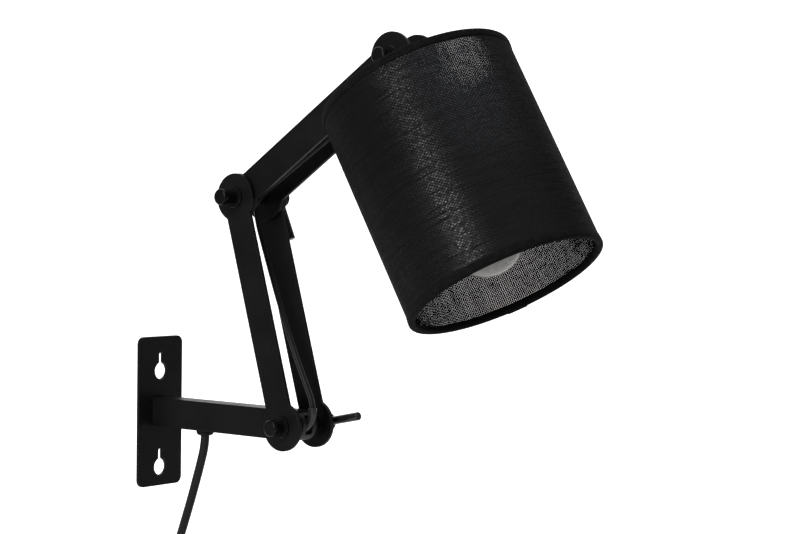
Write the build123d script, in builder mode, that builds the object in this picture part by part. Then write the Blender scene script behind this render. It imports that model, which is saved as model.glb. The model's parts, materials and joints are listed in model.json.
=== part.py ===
from build123d import *
from math import acos, atan2, cos, hypot, pi, radians, sin, sqrt, tan
import os

# A swing-arm wall lamp. The wall is the plane X = 0, +X points into the room, +Y along the wall
# and +Z up. The origin is the middle of the wall plate's back. Sizes are millimetres and degrees.

# Wall plate
plate_width = 45.6
plate_height = 115.0
plate_thickness = 2.5
plate_corner_radius = 5.5
keyhole_spacing = 74.0
keyhole_middle_height = -6.1
keyhole_round_radius = 6.4
keyhole_slot_width = 4.0
keyhole_slot_rise = 12.3
keyhole_shoulder_radius = 2.0

# Lower arm, a rectangular tube with a rounded end round the lower pivot
arm_height = 22.0
arm_width = 17.0
arm_wall = 1.5
arm_edge_radius = 0.8
arm_reach = 144.2
end_cap_wall = 1.6
end_cap_depth = 9.0
end_cap_slot_width = 6.8
end_cap_slot_low = -34.0
end_cap_slot_high = 46.0

# Four equal links, two for the middle arm and two for the upper arm
link_length = 171.5
link_width = 22.5
link_thickness = 3.0
link_disc_radius = 17.5
link_neck_radius = 1.5
link_edge_radius = 0.4
middle_lean = 16.3
upper_lean = 55.7
upper_half_gap = 12.6

# Pivots
stud_radius = 3.0
running_clearance = 0.08
seat_clearance = 0.05
pivot_gap = 0.1
washer_thickness = 0.4
washer_radius = 8.0
spacer_radius = 8.0
inner_spacer_radius = 5.0

# Cap nuts on the near side
collar_radius = 7.8
collar_thickness = 2.0
collar_chamfer = 0.6
cap_neck_radius = 4.5
lower_neck_length = 6.4
upper_neck_length = 9.4
head_neck_length = 7.9
cap_radius = 5.9
cap_length = 4.5
cap_edge_radius = 1.4
cap_root_radius = 0.8
cap_thread_depth = 8.0

# Clamp levers on the far side
boss_radius = 6.75
boss_length = 15.2
boss_edge_radius = 0.8
boss_thread_depth = 12.5
lever_rod_radius = 3.1
lever_rod_inset = 5.4
lever_rod_depth = 2.6
lever_reach = 33.5
lever_end_radius = 1.0
lower_lever_angle = 12.0
upper_lever_angle = -66.3
head_lever_angle = 199.3

# Head bracket and stem
head_tilt = 29.9
bracket_width = 20.0
bracket_thickness = 2.5
bracket_web_drop = 27.0
bracket_bend_radius = 2.0
stem_radius = 5.0
stem_bore_radius = 3.5
stem_top_drop = 20.5
stem_nut_thickness = 3.0
stem_nut_flats = 14.0
stem_grip = 8.0

# Lampholder
holder_drop = 36.0
holder_neck_radius = 8.0
holder_neck_length = 6.0
holder_radius = 19.0
holder_wall = 1.6
holder_cap_length = 20.0
holder_shell_length = 31.0
holder_flange_radius = 22.5
holder_flange_drop = 5.0
holder_flange_thickness = 2.0
holder_ledge_width = 3.0
holder_ledge_drop = 2.0
core_thickness = 6.0
core_hole_radius = 2.2
sleeve_radius = 14.3
sleeve_wall = 0.9
sleeve_length = 26.0
contact_radius = 3.0
contact_rise = 2.6

# Bulb
bulb_radius = 30.0
bulb_glass = 1.0
bulb_centre_drop = 138.0
bulb_neck_radius = 14.5
bulb_neck_run = 4.0
bulb_cap_radius = 13.1
bulb_cap_length = 22.0
bulb_cap_wall = 0.6
bulb_insulator_length = 4.3
bulb_insulator_radius = 9.0
bulb_tip_radius = 3.4
bulb_tip_length = 1.0

# Shade
shade_radius = 70.0
shade_length = 159.0
shade_drop = 20.0
shade_cloth = 0.9
binding_cloth = 0.6
binding_clearance = 0.2
binding_depth = 6.2
binding_inner_depth = 8.8
binding_width = 5.6
binding_roll_radius = 2.0
ring_wire_radius = 1.4
spider_wire_radius = 1.4
spider_arms = 3
spider_first_angle = 30.0
spider_notch_clearance = 0.5
fitter_width = 6.0
fitter_thickness = 2.0
ring_nut_width = 4.8
ring_nut_length = 7.0

# Supply cord, its grommet and its terminal block
cord_radius = 3.3
grommet_reach = 50.3
grommet_flange_radius = 6.6
grommet_flange_height = 3.8
grommet_round = 2.4
grommet_neck_radius = 4.7
grommet_collar_radius = 6.2
grommet_collar_height = 1.5
supply_height = 2.0
supply_bend_radius = 9.0
terminal_setback = 58.2
terminal_length = 20.0
terminal_width = 12.0
terminal_height = 13.0
terminal_screw_radius = 1.6
terminal_screw_depth = 1.2
terminal_screw_pitch = 8.0

# Link cable and the sleeve where it leaves the arm
cable_radius = 2.0
cable_stud_clearance = 0.6
cable_start_run = 8.0
cable_fall_run = 14.0
cable_stud_setback = 1.9
cable_low_drop = 3.8
cable_high_drop = 9.6
cable_head_setback = 21.5
cable_head_drop = 10.0
sleeve_wall_thickness = 1.05
sleeve_bend_radius = 14.0
sleeve_offset = 13.2
sleeve_top = 13.5
sleeve_start_run = 3.1
upper_bend_radius = 20.0
head_bend_radius = 13.0

# Cord coil, tie and plug
coil_gap = 0.6
coil_outer_radius = 48.5
coil_half_turns = 7
coil_wall_clearance = 1.3
coil_height = -160.0
tail_step = 14.0
tail_bend_radius = 20.0
tie_height = 10.0
tie_thickness = 0.8
tie_slack = 0.8
tie_corner_radius = 3.0
plug_width = 35.3
plug_thickness = 13.7
plug_neck_radius = 4.9
plug_neck_length = 12.0
plug_shoulder_width = 24.0
plug_shoulder_length = 8.0
plug_body_length = 24.0
plug_edge_radius = 2.2
plug_pin_radius = 2.0
plug_pin_length = 19.0
plug_pin_spacing = 18.6
plug_pin_end_radius = 1.2

# Places worked out from the sizes above
upper_half_width = upper_half_gap + link_thickness
middle_half_gap = upper_half_width + pivot_gap + washer_thickness
middle_half_width = middle_half_gap + link_thickness
bracket_half_width = upper_half_gap - washer_thickness - pivot_gap
bracket_half_gap = bracket_half_width - bracket_thickness
stud_bore = stud_radius + running_clearance

lower_pivot = Vector(arm_reach, 0, 0)
middle_direction = Vector(-sin(radians(middle_lean)), 0, cos(radians(middle_lean)))
upper_direction = Vector(sin(radians(upper_lean)), 0, cos(radians(upper_lean)))
head_direction = Vector(sin(radians(head_tilt)), 0, -cos(radians(head_tilt)))
upper_pivot = lower_pivot + middle_direction * link_length
head_pivot = upper_pivot + upper_direction * link_length
head_axis = Axis(head_pivot, head_direction)
head_side = Vector(-head_direction.Z, 0, head_direction.X)

os.makedirs("parts", exist_ok=True)


def keep(piece, name):
    """Labels a finished piece and writes it to its own file."""
    piece.part.label = name
    export_step(piece.part, f"parts/{name}.step")


def facing_plane(pivot, y, direction=Vector(1, 0, 0)):
    """A plane square to Y through a pivot, X along a direction, whose extrusions go towards -Y."""
    return Plane(origin=(pivot.X, y, pivot.Z), x_dir=direction, z_dir=(0, -1, 0))


def head_profile_plane():
    """A plane that holds the head's axis: X is the drop from the head pivot, Y the radius."""
    return Plane(origin=head_pivot, x_dir=head_direction, z_dir=(0, -1, 0))


def head_section_plane(drop):
    """A plane square to the head's axis at a drop from the head pivot."""
    return Plane(origin=head_pivot + head_direction * drop, x_dir=(0, 1, 0), z_dir=head_direction)


def pivot_ring(pivot, y_low, y_high, outer, inner):
    """A ring round a pivot's axis between two heights along Y."""
    with BuildPart() as ring:
        with BuildSketch(facing_plane(pivot, y_high)):
            Circle(outer)
            Circle(inner, mode=Mode.SUBTRACT)
        extrude(amount=y_high - y_low)
    return ring


def head_turned(points):
    """A piece turned about the head's axis from points given as drop and radius."""
    with BuildPart() as turned:
        with BuildSketch(head_profile_plane()):
            with BuildLine():
                Polyline(*points, close=True)
            make_face()
        revolve(axis=head_axis)
    return turned


def flat_route(points):
    """Points given as X and Z, set in the middle plane."""
    return [Vector(x, 0, z) for x, z in points]


def corner_radii(points, share=0.45):
    """The largest arcs that the runs on both sides of each corner leave room for."""
    radii = []
    for before, corner, after in zip(points, points[1:], points[2:]):
        first, second = corner - before, after - corner
        turn = radians(first.get_angle(second))
        radii.append(share * min(first.length, second.length) / tan(turn / 2))
    return radii


def swept_tube(points, radii, radius, bore=0):
    """A round tube or cable along straight runs joined by arcs."""
    with BuildPart() as tube:
        with BuildLine() as path:
            FilletPolyline(*points, radius=radii)
        with BuildSketch(Plane(origin=path.line @ 0, z_dir=path.line % 0)):
            Circle(radius)
            if bore:
                Circle(bore, mode=Mode.SUBTRACT)
        sweep(path=path.wire())
    section = pi * (radius**2 - bore**2)
    print("tube volume over section times length", tube.part.volume / (section * path.wire().length))
    return tube


# Wall plate with two keyholes

with BuildSketch() as keyhole:
    Circle(keyhole_round_radius)
    with Locations((0, keyhole_slot_rise / 2)):
        Rectangle(keyhole_slot_width, keyhole_slot_rise)
    with Locations((0, keyhole_slot_rise)):
        Circle(keyhole_slot_width / 2)
    shoulder_height = sqrt(keyhole_round_radius**2 - (keyhole_slot_width / 2) ** 2)
    shoulders = [v for v in keyhole.vertices() if abs(v.Y - shoulder_height) < seat_clearance]
    fillet(shoulders, keyhole_shoulder_radius)

with BuildPart() as wall_plate:
    with BuildSketch(Plane.YZ):
        RectangleRounded(plate_width, plate_height, plate_corner_radius)
        with Locations((0, keyhole_middle_height)):
            with GridLocations(0, keyhole_spacing, 1, 2):
                add(keyhole.sketch, mode=Mode.SUBTRACT)
    extrude(amount=plate_thickness)
keep(wall_plate, "wall_plate")

# Lower arm

with BuildPart() as lower_arm_tube:
    with BuildSketch(facing_plane(Vector(0, 0, 0), arm_width / 2)):
        with Locations(((plate_thickness + arm_reach) / 2, 0)):
            Rectangle(arm_reach - plate_thickness, arm_height)
        with Locations((arm_reach, 0)):
            Circle(arm_height / 2)
    extrude(amount=arm_width)
    side_edges = lower_arm_tube.faces().filter_by(Axis.Y).edges()
    fillet([e for e in side_edges if e.center().X > plate_thickness + seat_clearance], arm_edge_radius)
    with BuildSketch(Plane.YZ.offset(plate_thickness)):
        Rectangle(arm_width - 2 * arm_wall, arm_height - 2 * arm_wall)
    extrude(amount=arm_reach + arm_height, mode=Mode.SUBTRACT)
    with BuildSketch(facing_plane(lower_pivot, arm_width / 2)):
        Circle(stud_bore)
    extrude(amount=arm_width, mode=Mode.SUBTRACT)
    with BuildSketch(Plane.XY.offset(-arm_height / 2)):
        with Locations((grommet_reach, 0)):
            Circle(grommet_neck_radius + seat_clearance)
    extrude(amount=arm_wall, mode=Mode.SUBTRACT)
keep(lower_arm_tube, "lower_arm_tube")

end_cap_width = arm_width - 2 * arm_wall - 2 * seat_clearance
end_cap_height = arm_height - 2 * arm_wall - 2 * seat_clearance
with BuildPart() as arm_end_cap:
    with BuildSketch(facing_plane(lower_pivot, end_cap_width / 2)):
        Circle(arm_height / 2)
        Circle(arm_height / 2 - end_cap_wall, mode=Mode.SUBTRACT)
        with Locations((arm_height / 2 - end_cap_depth / 2, 0)):
            Rectangle(end_cap_depth, end_cap_height, mode=Mode.INTERSECT)
    extrude(amount=end_cap_width)
    with BuildSketch(facing_plane(lower_pivot, end_cap_slot_width / 2)):
        with BuildLine():
            slot_reach = arm_height
            low = (slot_reach * cos(radians(end_cap_slot_low)), slot_reach * sin(radians(end_cap_slot_low)))
            high = (slot_reach * cos(radians(end_cap_slot_high)), slot_reach * sin(radians(end_cap_slot_high)))
            Polyline((0, 0), low, high, close=True)
        make_face()
    extrude(amount=end_cap_slot_width, mode=Mode.SUBTRACT)
keep(arm_end_cap, "arm_end_cap")

with BuildPart() as lower_spacers:
    with BuildSketch(facing_plane(lower_pivot, middle_half_gap - washer_thickness - pivot_gap)):
        Circle(spacer_radius)
        Circle(stud_bore, mode=Mode.SUBTRACT)
    extrude(amount=middle_half_gap - washer_thickness - pivot_gap - arm_width / 2)
    mirror(about=Plane.XZ)
keep(lower_spacers, "lower_spacers")

# Links


def link_bar(pivot, direction, y_high):
    """A flat link with a disc at each end, a stud hole in each disc and softened edges."""
    with BuildPart() as bar:
        with BuildSketch(facing_plane(pivot, y_high, direction)) as outline:
            with Locations((link_length / 2, 0)):
                Rectangle(link_length, link_width)
            with Locations((0, 0), (link_length, 0)):
                Circle(link_disc_radius)
            necks = [v for v in outline.vertices() if abs(abs(v.Y) - link_width / 2) < seat_clearance]
            fillet(necks, link_neck_radius)
        extrude(amount=link_thickness)
        fillet(bar.faces().filter_by(Axis.Y).edges(), link_edge_radius)
        with BuildSketch(facing_plane(pivot, y_high, direction)):
            with Locations((0, 0), (link_length, 0)):
                Circle(stud_bore)
        extrude(amount=link_thickness, mode=Mode.SUBTRACT)
    return bar


keep(link_bar(lower_pivot, middle_direction, -middle_half_gap), "middle_link_near")
keep(link_bar(lower_pivot, middle_direction, middle_half_width), "middle_link_far")
keep(link_bar(upper_pivot, upper_direction, -upper_half_gap), "upper_link_near")
keep(link_bar(upper_pivot, upper_direction, upper_half_width), "upper_link_far")

# Pivot hardware, the same at all three pivots


def stud(pivot, half_width):
    """The stud through a pivot, from inside the cap nut to inside the lever boss."""
    near_end = -(half_width + collar_thickness + cap_thread_depth)
    far_end = half_width + boss_thread_depth
    with BuildPart() as rod:
        with BuildSketch(facing_plane(pivot, far_end)):
            Circle(stud_radius)
        extrude(amount=far_end - near_end)
    return rod


def collar(pivot, half_width):
    """The stepped collar under a cap nut."""
    with BuildPart() as ring:
        with BuildSketch(facing_plane(pivot, -half_width)):
            Circle(collar_radius)
            Circle(stud_radius + seat_clearance, mode=Mode.SUBTRACT)
        extrude(amount=collar_thickness)
        outer_rim = ring.faces().sort_by(Axis.Y)[0].edges().sort_by(SortBy.LENGTH)[-1]
        chamfer(outer_rim, collar_chamfer)
    return ring


def cap_nut(pivot, half_width, neck_length):
    """A cap nut with a straight neck and a wider round head, threaded on the stud."""
    base = half_width + collar_thickness
    with BuildPart() as nut:
        with BuildSketch(facing_plane(pivot, -base - neck_length)):
            Circle(cap_radius)
        extrude(amount=cap_length)
        fillet(nut.faces().sort_by(Axis.Y)[0].edges(), cap_edge_radius)
        fillet(nut.faces().sort_by(Axis.Y)[-1].edges(), cap_root_radius)
        with BuildSketch(facing_plane(pivot, -base)):
            Circle(cap_neck_radius)
        extrude(amount=neck_length)
        with BuildSketch(facing_plane(pivot, -base)):
            Circle(stud_radius + seat_clearance)
        extrude(amount=cap_thread_depth + seat_clearance, mode=Mode.SUBTRACT)
    return nut


def friction_washers(pivot, half_gap):
    """Two thin washers against the inner faces of a pair of links."""
    with BuildPart() as washers:
        with BuildSketch(facing_plane(pivot, half_gap)):
            Circle(washer_radius)
            Circle(stud_bore, mode=Mode.SUBTRACT)
        extrude(amount=washer_thickness)
        mirror(about=Plane.XZ)
    return washers


def lever_boss(pivot, half_width, angle):
    """The round boss of a clamp lever, with a blind thread and a blind hole for its rod."""
    base = half_width + pivot_gap
    end = base + boss_length
    rod_direction = Vector(cos(radians(angle)), 0, sin(radians(angle)))
    rod_centre = Vector(pivot.X, end - lever_rod_inset, pivot.Z)
    with BuildPart() as boss:
        with BuildSketch(facing_plane(pivot, end)):
            Circle(boss_radius)
        extrude(amount=boss_length)
        fillet(boss.faces().filter_by(Axis.Y).edges(), boss_edge_radius)
        with BuildSketch(facing_plane(pivot, base + boss_thread_depth)):
            Circle(stud_bore)
        extrude(amount=boss_thread_depth, mode=Mode.SUBTRACT)
        rod_seat = rod_centre + rod_direction * (boss_radius - lever_rod_depth)
        with BuildSketch(Plane(origin=rod_seat, x_dir=(0, 1, 0), z_dir=rod_direction)):
            Circle(lever_rod_radius + seat_clearance)
        extrude(amount=boss_radius, mode=Mode.SUBTRACT)
    return boss


def lever_rod(pivot, half_width, angle):
    """The handle rod of a clamp lever, with a rounded end."""
    rod_direction = Vector(cos(radians(angle)), 0, sin(radians(angle)))
    rod_y = half_width + pivot_gap + boss_length - lever_rod_inset
    start = boss_radius - lever_rod_depth
    rod_start = Vector(pivot.X, rod_y, pivot.Z) + rod_direction * start
    with BuildPart() as rod:
        with BuildSketch(Plane(origin=rod_start, x_dir=(0, 1, 0), z_dir=rod_direction)):
            Circle(lever_rod_radius)
        extrude(amount=lever_reach - start)
        far_face = max(rod.faces(), key=lambda f: (f.center() - pivot).dot(rod_direction))
        fillet(far_face.edges(), lever_end_radius)
    return rod


pivots = [
    ("lower", lower_pivot, middle_half_gap, lower_lever_angle, lower_neck_length),
    ("upper", upper_pivot, middle_half_gap, upper_lever_angle, upper_neck_length),
    ("head", head_pivot, upper_half_gap, head_lever_angle, head_neck_length),
]
for pivot_name, pivot, half_gap, lever_angle, neck_length in pivots:
    half_width = half_gap + link_thickness
    keep(stud(pivot, half_width), f"{pivot_name}_stud")
    keep(collar(pivot, half_width), f"{pivot_name}_collar")
    keep(cap_nut(pivot, half_width, neck_length), f"{pivot_name}_cap_nut")
    keep(friction_washers(pivot, half_gap), f"{pivot_name}_washers")
    keep(lever_boss(pivot, half_width, lever_angle), f"{pivot_name}_lever_boss")
    keep(lever_rod(pivot, half_width, lever_angle), f"{pivot_name}_lever_rod")

keep(pivot_ring(upper_pivot, -upper_half_gap, upper_half_gap, inner_spacer_radius, stud_bore), "upper_spacer")
keep(pivot_ring(head_pivot, -bracket_half_gap, bracket_half_gap, inner_spacer_radius, stud_bore), "head_spacer")

# Head bracket, stem and nuts

with BuildPart() as head_bracket:
    with BuildSketch(facing_plane(head_pivot, bracket_half_width, head_direction)):
        with Locations((bracket_web_drop / 2, 0)):
            Rectangle(bracket_web_drop, bracket_width)
        Circle(bracket_width / 2)
    extrude(amount=2 * bracket_half_width)
    bends = head_bracket.faces().sort_by(head_axis)[-1].edges().filter_by(Axis((0, 0, 0), head_side))
    fillet(bends, bracket_bend_radius)
    with BuildSketch(facing_plane(head_pivot, bracket_half_gap, head_direction)):
        with Locations(((bracket_web_drop - bracket_thickness - bracket_width) / 2, 0)):
            Rectangle(bracket_web_drop - bracket_thickness + bracket_width, 2 * bracket_width)
    extrude(amount=2 * bracket_half_gap, mode=Mode.SUBTRACT)
    with BuildSketch(facing_plane(head_pivot, bracket_half_width)):
        Circle(stud_bore)
    extrude(amount=2 * bracket_half_width, mode=Mode.SUBTRACT)
    with BuildSketch(head_section_plane(bracket_web_drop - bracket_thickness)):
        Circle(stem_radius + seat_clearance)
    extrude(amount=bracket_thickness, mode=Mode.SUBTRACT)
keep(head_bracket, "head_bracket")

stem_end = holder_drop + stem_grip
keep(
    head_turned(
        [
            (stem_top_drop, stem_bore_radius),
            (stem_top_drop, stem_radius),
            (stem_end, stem_radius),
            (stem_end, stem_bore_radius),
        ]
    ),
    "head_stem",
)

with BuildPart() as stem_nuts:
    for nut_drop in (bracket_web_drop - bracket_thickness - stem_nut_thickness, bracket_web_drop):
        with BuildSketch(head_section_plane(nut_drop)):
            RegularPolygon(stem_nut_flats / 2, 6, major_radius=False)
            Circle(stem_radius + seat_clearance, mode=Mode.SUBTRACT)
        extrude(amount=stem_nut_thickness)
keep(stem_nuts, "stem_nuts")

# Lampholder

holder_seam = holder_drop + holder_cap_length
holder_end = holder_seam + holder_shell_length
holder_bore = holder_radius - holder_wall
holder_flare = holder_drop + holder_neck_length + (holder_radius - holder_neck_radius) * 2 / 3
neck_inside = holder_drop + stem_grip + holder_wall
keep(
    head_turned(
        [
            (holder_drop, stem_radius + seat_clearance),
            (holder_drop, holder_neck_radius),
            (holder_drop + holder_neck_length, holder_neck_radius),
            (holder_flare, holder_radius),
            (holder_seam, holder_radius),
            (holder_seam, holder_bore),
            (holder_flare + holder_wall, holder_bore),
            (neck_inside, stem_radius + holder_wall),
            (neck_inside, stem_radius + seat_clearance),
        ]
    ),
    "lampholder_cap",
)

flange_top = holder_seam + holder_flange_drop
flange_bottom = flange_top + holder_flange_thickness
ledge_top = holder_seam + holder_ledge_drop
keep(
    head_turned(
        [
            (holder_seam, holder_bore),
            (holder_seam, holder_radius),
            (flange_top, holder_radius),
            (flange_top, holder_flange_radius),
            (flange_bottom, holder_flange_radius),
            (flange_bottom, holder_radius),
            (holder_end, holder_radius),
            (holder_end, holder_bore),
            (ledge_top + holder_wall, holder_bore),
            (ledge_top + holder_wall, holder_bore - holder_ledge_width + holder_wall),
            (ledge_top, holder_bore - holder_ledge_width + holder_wall),
            (ledge_top, holder_bore),
        ]
    ),
    "lampholder_shell",
)

core_radius = holder_bore - running_clearance
core_top = ledge_top - core_thickness
keep(
    head_turned(
        [
            (core_top, core_hole_radius),
            (core_top, core_radius),
            (ledge_top, core_radius),
            (ledge_top, core_hole_radius),
        ]
    ),
    "lampholder_core",
)

with BuildPart() as lampholder_contacts:
    with BuildSketch(head_section_plane(ledge_top)):
        Circle(sleeve_radius)
        Circle(sleeve_radius - sleeve_wall, mode=Mode.SUBTRACT)
    extrude(amount=sleeve_length)
    with BuildSketch(head_section_plane(ledge_top)):
        Circle(contact_radius)
    extrude(amount=contact_rise)
keep(lampholder_contacts, "lampholder_contacts")

# Bulb, hanging from the lampholder's centre contact

bulb_tip = ledge_top + contact_rise + seat_clearance
bulb_cap_start = bulb_tip + bulb_tip_length + bulb_insulator_length
bulb_cap_end = bulb_cap_start + bulb_cap_length


def bulb_outline(neck_radius, globe_radius):
    """Half of a bulb's outline: a straight neck that runs tangent into a round globe."""
    neck_end = bulb_cap_end + bulb_neck_run
    reach = bulb_centre_drop - neck_end
    touch = atan2(neck_radius, reach) + acos(globe_radius / hypot(neck_radius, reach))
    side = (touch + pi) / 2
    touch_point = (bulb_centre_drop - globe_radius * cos(touch), globe_radius * sin(touch))
    side_point = (bulb_centre_drop - globe_radius * cos(side), globe_radius * sin(side))
    tip_point = (bulb_centre_drop + globe_radius, 0)
    with BuildLine() as outline:
        Polyline((bulb_cap_end, 0), (bulb_cap_end, neck_radius), (neck_end, neck_radius), touch_point)
        ThreePointArc(touch_point, side_point, tip_point)
        Line(tip_point, (bulb_cap_end, 0))
    return outline.line


with BuildPart() as bulb_globe:
    with BuildSketch(head_profile_plane()):
        make_face(bulb_outline(bulb_neck_radius, bulb_radius).edges())
        inside = bulb_outline(bulb_neck_radius - bulb_glass, bulb_radius - bulb_glass)
        make_face(inside.edges(), mode=Mode.SUBTRACT)
    revolve(axis=head_axis)
keep(bulb_globe, "bulb_globe")

keep(
    head_turned(
        [
            (bulb_cap_start, bulb_insulator_radius),
            (bulb_cap_start, bulb_cap_radius),
            (bulb_cap_end, bulb_cap_radius),
            (bulb_cap_end, bulb_cap_radius - bulb_cap_wall),
            (bulb_cap_start + bulb_cap_wall, bulb_cap_radius - bulb_cap_wall),
            (bulb_cap_start + bulb_cap_wall, bulb_insulator_radius),
        ]
    ),
    "bulb_cap",
)
insulator_top = bulb_tip + bulb_tip_length
keep(
    head_turned(
        [
            (insulator_top, 0),
            (insulator_top, bulb_tip_radius),
            (bulb_cap_start, bulb_insulator_radius - seat_clearance),
            (bulb_cap_start + bulb_cap_wall, bulb_insulator_radius - seat_clearance),
            (bulb_cap_start + bulb_cap_wall, 0),
        ]
    ),
    "bulb_insulator",
)
with BuildPart() as bulb_contact:
    with BuildSketch(head_section_plane(bulb_tip)):
        Circle(bulb_tip_radius)
    extrude(amount=bulb_tip_length)
keep(bulb_contact, "bulb_contact")

# Shade: cloth with rolled hems over two wire rings, carried by a spider on the lampholder

shade_end = shade_drop + shade_length
binding_outer = shade_radius + binding_clearance + binding_cloth
binding_inner = binding_outer - binding_width
ring_radius = binding_outer - binding_width / 2 - shade_cloth / 2
ring_inset = binding_cloth + ring_wire_radius + 2 * seat_clearance
fitter_top = flange_bottom
fitter_bottom = fitter_top + fitter_thickness
fitter_inner = holder_radius + running_clearance
fitter_outer = fitter_inner + fitter_width
spider_angles = [spider_first_angle + 360 / spider_arms * arm for arm in range(spider_arms)]


def spider_wire(radius, angle, outer_end):
    """One spider wire, from the fitter ring up towards the top ring."""
    outward = Vector(0, 1, 0) * cos(radians(angle)) + head_side * sin(radians(angle))
    foot_radius = fitter_outer - spider_wire_radius / 2
    foot = head_pivot + head_direction * (fitter_top + fitter_thickness / 2) + outward * foot_radius
    top = head_pivot + head_direction * (shade_drop + ring_inset) + outward * ring_radius
    run = top - foot
    with BuildPart() as wire:
        with BuildSketch(Plane(origin=foot, z_dir=run)):
            Circle(radius)
        extrude(amount=run.length - outer_end)
    return wire.part


with BuildPart() as shade_spider:
    with BuildSketch(head_section_plane(fitter_top)):
        Circle(fitter_outer)
        Circle(fitter_inner, mode=Mode.SUBTRACT)
    extrude(amount=fitter_thickness)
    for angle in spider_angles:
        add(spider_wire(spider_wire_radius, angle, ring_wire_radius + seat_clearance))
keep(shade_spider, "shade_spider")

for ring_name, ring_drop in (("top", shade_drop + ring_inset), ("bottom", shade_end - ring_inset)):
    with BuildPart() as wire_ring:
        with BuildSketch(head_profile_plane()):
            with Locations((ring_drop, ring_radius)):
                Circle(ring_wire_radius)
        revolve(axis=head_axis)
    keep(wire_ring, f"shade_{ring_name}_ring")

with BuildPart() as shade_fabric:
    with BuildSketch(head_section_plane(shade_drop + binding_cloth + binding_clearance)):
        Circle(shade_radius)
        Circle(shade_radius - shade_cloth, mode=Mode.SUBTRACT)
    extrude(amount=shade_length - 2 * (binding_cloth + binding_clearance))
keep(shade_fabric, "shade_fabric")


def binding(rim, inward, notches=()):
    """A strip of cloth folded over a wire ring and the cloth's edge, with notches for the spider."""
    lip = rim + inward * binding_depth
    inner_lip = rim + inward * binding_inner_depth
    fold = rim + inward * binding_cloth
    with BuildPart() as strip:
        with BuildSketch(head_profile_plane()) as section:
            with BuildLine():
                Polyline(
                    (lip, binding_outer),
                    (rim, binding_outer),
                    (rim, binding_inner),
                    (inner_lip, binding_inner),
                    (inner_lip, binding_inner + binding_cloth),
                    (fold, binding_inner + binding_cloth),
                    (fold, binding_outer - binding_cloth),
                    (lip, binding_outer - binding_cloth),
                    close=True,
                )
            make_face()
            outside = [v for v in section.vertices() if abs(v.X - rim) < seat_clearance]
            fillet(outside, binding_roll_radius)
            inside = [v for v in section.vertices() if abs(v.X - fold) < seat_clearance]
            inside = [v for v in inside if abs(v.Y - (binding_inner + binding_cloth)) < seat_clearance]
            fillet(inside, binding_roll_radius - binding_cloth)
        revolve(axis=head_axis)
        for notch in notches:
            add(notch, mode=Mode.SUBTRACT)
    return strip


notch_radius = spider_wire_radius + spider_notch_clearance
spider_notches = [spider_wire(notch_radius, angle, ring_wire_radius) for angle in spider_angles]
keep(binding(shade_drop, 1, spider_notches), "shade_top_binding")
keep(binding(shade_end, -1), "shade_bottom_binding")

keep(
    head_turned(
        [
            (fitter_bottom, fitter_inner),
            (fitter_bottom, fitter_inner + ring_nut_width),
            (fitter_bottom + ring_nut_length, fitter_inner + ring_nut_width),
            (fitter_bottom + ring_nut_length, fitter_inner),
        ]
    ),
    "shade_ring_nut",
)

# Supply cord inside the arm: grommet, cord end and terminal block

grommet_plane = Plane(origin=(grommet_reach, 0, 0), x_dir=(1, 0, 0), z_dir=(0, -1, 0))
grommet_bottom = -arm_height / 2 - grommet_flange_height
arm_floor = -arm_height / 2 + arm_wall
with BuildPart() as cord_grommet:
    with BuildSketch(grommet_plane) as grommet_section:
        with BuildLine():
            bore = cord_radius + seat_clearance
            Polyline(
                (bore, grommet_bottom),
                (grommet_flange_radius, grommet_bottom),
                (grommet_flange_radius, -arm_height / 2),
                (grommet_neck_radius, -arm_height / 2),
                (grommet_neck_radius, arm_floor),
                (grommet_collar_radius, arm_floor),
                (grommet_collar_radius, arm_floor + grommet_collar_height),
                (bore, arm_floor + grommet_collar_height),
                close=True,
            )
        make_face()
        low_corner = grommet_section.vertices().group_by(Axis.Y)[0].sort_by(Axis.X)[-1]
        fillet(low_corner, grommet_round)
    revolve(axis=Axis((grommet_reach, 0, 0), (0, 0, 1)))
keep(cord_grommet, "cord_grommet")

terminal_start = arm_reach - terminal_setback
supply_route = flat_route(
    [
        (grommet_reach, grommet_bottom),
        (grommet_reach, supply_height),
        (terminal_start, supply_height),
    ]
)
keep(swept_tube(supply_route, [supply_bend_radius], cord_radius), "supply_cord_end")

arm_ceiling = arm_height / 2 - arm_wall
terminal_centre = (terminal_start + terminal_length / 2, 0, arm_ceiling - terminal_height / 2)
screw_rows = GridLocations(terminal_screw_pitch, terminal_screw_pitch / 2, 2, 2)
terminal_side = Plane(
    origin=(terminal_centre[0], -terminal_width / 2, terminal_centre[2]), x_dir=(1, 0, 0), z_dir=(0, -1, 0)
)
with BuildPart() as terminal_block:
    with Locations(terminal_centre):
        Box(terminal_length, terminal_width, terminal_height)
    with BuildSketch(terminal_side):
        with screw_rows:
            Circle(terminal_screw_radius + seat_clearance)
    extrude(amount=-terminal_screw_depth, mode=Mode.SUBTRACT)
keep(terminal_block, "terminal_block")

with BuildPart() as terminal_screws:
    with BuildSketch(terminal_side):
        with screw_rows:
            Circle(terminal_screw_radius)
    extrude(amount=-terminal_screw_depth)
keep(terminal_screws, "terminal_screws")

# Link cable, from the terminal block round all three pivots to the lampholder, in four stretches

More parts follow.
